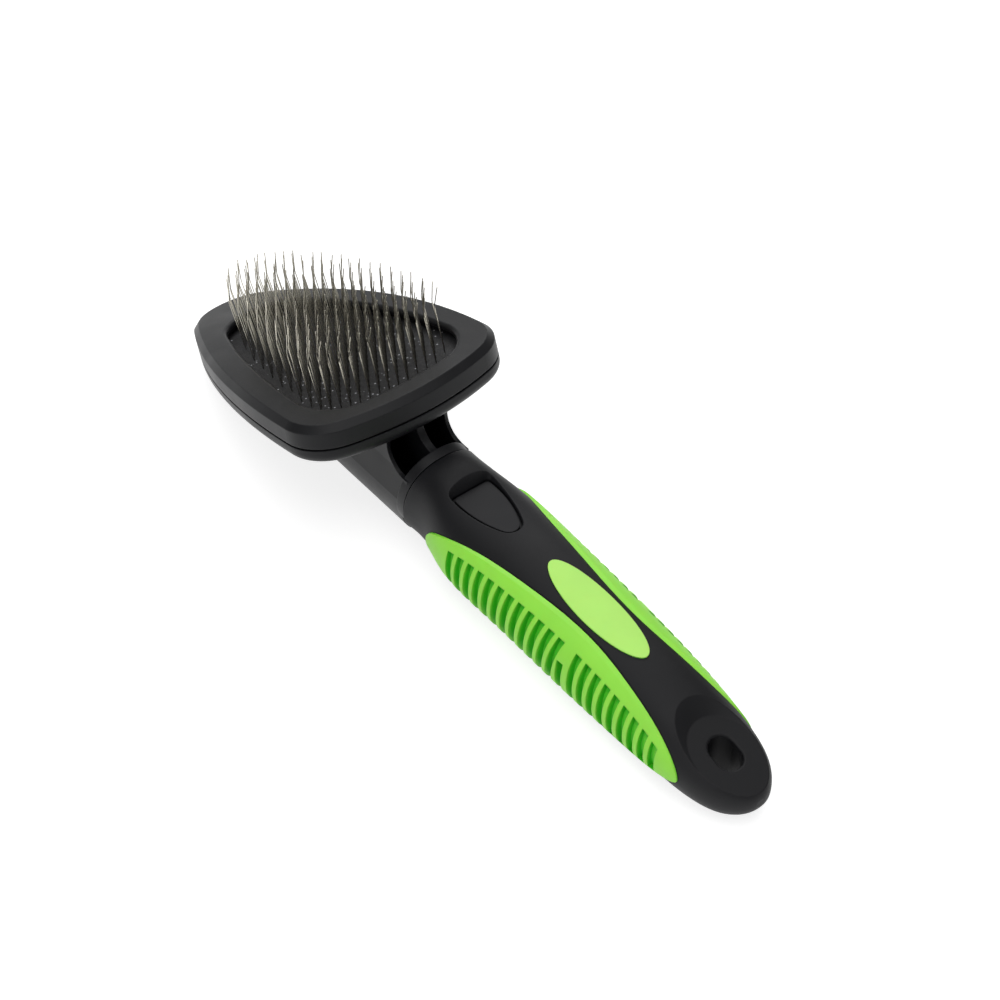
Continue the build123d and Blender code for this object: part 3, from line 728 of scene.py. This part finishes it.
class SLICKER_OT_inner_parts(bpy.types.Operator):
    """Finishes of the backing board and the two screws inside the head"""

    bl_idname = "slicker.inner_parts"
    bl_label = "Inner Parts Finish"

    def execute(self, context):
        board = Finish("grey_board")
        edge = board.edge(radius=0.0002)
        cloud = board.noise(160.0, detail=4.0)
        body = board.blend(board.spread(cloud, USUAL), BOARD_DARK, BOARD_PALE)
        body = board.blend(board.math("MULTIPLY", edge, 0.4), body, BOARD_EDGE)
        board.bump(board.noise(2400.0), strength=0.3, distance=0.00008)
        dress("backing_board", board.done(body, board.spread(cloud, USUAL, to=(0.5, 0.62))))
        zinc = Finish("zinc_plate")
        edge = zinc.edge(radius=0.0001)
        cloud = zinc.noise(900.0, detail=4.0)
        body = zinc.blend(zinc.spread(cloud, (0.35, 0.65)), ZINC_DARK, ZINC_PALE)
        body = zinc.blend(zinc.math("MULTIPLY", edge, 0.5), body, ZINC_EDGE)
        zinc.bump(zinc.noise(7000.0), strength=0.2, distance=0.00003)
        zinc.set(Metallic=1.0)
        dress("neck_screws", zinc.done(body, zinc.spread(cloud, USUAL, to=(0.3, 0.45))))
        return {"FINISHED"}


class SLICKER_OT_grip(bpy.types.Operator):
    """Soft-touch black of the grip and its thumb pad"""

    bl_idname = "slicker.grip"
    bl_label = "Grip Finish"

    def execute(self, context):
        colour = context.scene.slicker_finish.grip_black
        for name, node, lift in (
            ("soft_touch_grip", "grip_sleeve", 1.0),
            ("thumb_pad_rubber", "thumb_pad", 1.25),
        ):
            finish = Finish(name)
            edge = finish.edge(radius=0.0004)
            cloud = finish.noise(60.0, detail=4.0)
            fine = finish.noise(5200.0, roughness=0.6)
            body = finish.blend(
                finish.spread(cloud, USUAL), scaled(colour, 0.85 * lift), scaled(colour, 1.2 * lift))
            rubbed = finish.spread(finish.noise(500.0, detail=3.0), (0.4, 0.6))
            rub = finish.math("MULTIPLY", edge, rubbed)
            body = finish.blend(finish.math("MULTIPLY", rub, 0.4), body, scaled(colour, 3.0))
            gloss = finish.math(
                "ADD", finish.spread(cloud, USUAL, to=(0.46, 0.54)), finish.math("MULTIPLY", fine, 0.04))
            finish.bump(fine, strength=0.2, distance=0.00005)
            finish.set(Specular_IOR_Level=0.24)
            dress(node, finish.done(body, gloss))
        return {"FINISHED"}


class SLICKER_OT_inlays(bpy.types.Operator):
    """Green soft inlays, darkened by painted shade down in their grooves and lightened by a painted
    highlight along their edges
    """

    bl_idname = "slicker.inlays"
    bl_label = "Green Inlay Finish"

    def execute(self, context):
        colours = context.scene.slicker_finish
        for name, green in (
            ("left_grip_inlay", colours.green),
            ("right_grip_inlay", colours.green),
            ("oval_inlay", colours.pale_green),
        ):
            finish = Finish("green_" + name)
            edge = finish.edge(radius=0.00035)
            # Painted shade: ambient occlusion finds the grooves between the fins, and the green is
            # painted darker there.
            groove_occlusion = finish.node(
                "ShaderNodeAmbientOcclusion", {"Distance": 0.0024}, samples=8).outputs["AO"]
            cloud = finish.noise(120.0, detail=3.0)
            fine = finish.noise(3800.0, roughness=0.6)
            body = finish.blend(
                finish.spread(cloud, USUAL), scaled(green, 0.98), scaled(green, 1.02))
            groove_shade_amount = finish.spread(groove_occlusion, (0.86, 0.45), to=(0.0, 0.95))
            body = finish.blend(groove_shade_amount, body, colours.painted_groove_shade)
            # Painted highlight: the green is made a little lighter along the fin edges, where light
            # catches the crests.
            body = finish.blend(finish.math("MULTIPLY", edge, 0.25), body, scaled(green, 1.2))
            finish.bump(fine, strength=0.2, distance=0.00005)
            finish.set(Subsurface_Weight=0.15, Subsurface_Scale=0.001, Specular_IOR_Level=0.4)
            dress(name, finish.done(body, finish.spread(fine, USUAL, to=(0.42, 0.55))))
        return {"FINISHED"}


class SLICKER_OT_studio(bpy.types.Operator):
    """Camera, lamps and a pale floor that keeps the brush's soft shadow"""

    bl_idname = "slicker.studio"
    bl_label = "Studio"

    def execute(self, context):
        scene = context.scene
        studio = scene.slicker_studio
        reach = studio.floor_reach
        corners = np.array([
            [-reach, -reach, 0], [reach, -reach, 0], [reach, reach, 0], [-reach, reach, 0]])
        floor = put_faces("studio_floor", corners - (0, 0, FLOOR_DROP), np.array([[0, 1, 2, 3]]))
        floor.data.materials.append(self.floor_finish())

        camera = bpy.data.cameras.new("studio_camera")
        camera.lens = studio.lens
        camera.sensor_width = 36
        camera.clip_end = 20
        holder = bpy.data.objects.new("studio_camera", camera)
        eye, aim = Vector(studio.eye), Vector(studio.aim)
        holder.location = eye
        holder.rotation_euler = (aim - eye).to_track_quat("-Z", "Y").to_euler()
        scene.collection.objects.link(holder)
        scene.camera = holder

        for name, place, size, power in LAMPS:
            self.lamp(name, place, LAMP_AIM, size, power)

        world = bpy.data.worlds.new("studio_white")
        world.use_nodes = True
        back = world.node_tree.nodes["Background"]
        back.inputs["Color"].default_value = (1, 1, 1, 1)
        back.inputs["Strength"].default_value = WORLD_LIGHT
        scene.world = world
        scene.view_settings.view_transform = "Standard"
        return {"FINISHED"}

    def lamp(self, name, place, aim, size, power):
        """A square soft lamp that faces a point."""
        light = bpy.data.lights.new(name, "AREA")
        light.size = size
        light.energy = power
        holder = bpy.data.objects.new(name, light)
        holder.location = place
        holder.rotation_euler = (Vector(aim) - Vector(place)).to_track_quat("-Z", "Y").to_euler()
        bpy.context.scene.collection.objects.link(holder)

    def floor_finish(self):
        """White to the eye and in reflections, and a plain pale floor to all other light."""
        material = bpy.data.materials.new("white_floor")
        material.use_nodes = True
        nodes, links = material.node_tree.nodes, material.node_tree.links
        nodes.clear()
        out = nodes.new("ShaderNodeOutputMaterial")
        plain = nodes.new("ShaderNodeBsdfDiffuse")
        plain.inputs["Color"].default_value = FLOOR_PLAIN
        seen = nodes.new("ShaderNodeBsdfDiffuse")
        seen.inputs["Color"].default_value = FLOOR_SEEN
        glow = nodes.new("ShaderNodeEmission")
        glow.inputs["Strength"].default_value = FLOOR_GLOW
        both = nodes.new("ShaderNodeAddShader")
        links.new(seen.outputs[0], both.inputs[0])
        links.new(glow.outputs[0], both.inputs[1])
        path = nodes.new("ShaderNodeLightPath")
        one = nodes.new("ShaderNodeMath")
        one.operation = "MAXIMUM"
        links.new(path.outputs["Is Camera Ray"], one.inputs[0])
        links.new(path.outputs["Is Glossy Ray"], one.inputs[1])
        two = nodes.new("ShaderNodeMath")
        two.operation = "MAXIMUM"
        links.new(one.outputs[0], two.inputs[0])
        links.new(path.outputs["Is Transmission Ray"], two.inputs[1])
        pick = nodes.new("ShaderNodeMixShader")
        links.new(two.outputs[0], pick.inputs[0])
        links.new(plain.outputs[0], pick.inputs[1])
        links.new(both.outputs[0], pick.inputs[2])
        links.new(pick.outputs[0], out.inputs[0])
        return material


class SLICKER_PT_panel(bpy.types.Panel):
    """Lists the pieces of the brush and the studio."""

    bl_idname = "SLICKER_PT_panel"
    bl_label = "Slicker Brush"
    bl_space_type = "VIEW_3D"
    bl_region_type = "UI"
    bl_category = "Slicker Brush"

    def draw(self, context):
        for operator in OPERATORS:
            self.layout.operator(operator.bl_idname)
        for group, name in SETTINGS:
            box = self.layout.box()
            box.label(text=group.__doc__)
            settings = getattr(context.scene, name)
            for key in group.__annotations__:
                box.prop(settings, key)


SETTINGS = (
    (HeadSettings, "slicker_head"),
    (PinSettings, "slicker_pins"),
    (FinishSettings, "slicker_finish"),
    (StudioSettings, "slicker_studio"),
)
OPERATORS = (
    SLICKER_OT_pins,
    SLICKER_OT_pad_face,
    SLICKER_OT_cloth,
    SLICKER_OT_foam,
    SLICKER_OT_head,
    SLICKER_OT_neck,
    SLICKER_OT_inner_parts,
    SLICKER_OT_grip,
    SLICKER_OT_inlays,
    SLICKER_OT_studio,
)


def register():
    for group, name in SETTINGS:
        bpy.utils.register_class(group)
        setattr(bpy.types.Scene, name, PointerProperty(type=group))
    for operator in OPERATORS:
        bpy.utils.register_class(operator)
    bpy.utils.register_class(SLICKER_PT_panel)


def unregister():
    bpy.utils.unregister_class(SLICKER_PT_panel)
    for operator in reversed(OPERATORS):
        bpy.utils.unregister_class(operator)
    for group, name in reversed(SETTINGS):
        delattr(bpy.types.Scene, name)
        bpy.utils.unregister_class(group)


def main():
    """Registers the classes and makes every piece in order."""
    register()
    for operator in OPERATORS:
        group, name = operator.bl_idname.split(".")
        if getattr(getattr(bpy.ops, group), name)() != {"FINISHED"}:
            raise RuntimeError(operator.bl_label + " was not made")


if __name__ == "__main__":
    main()
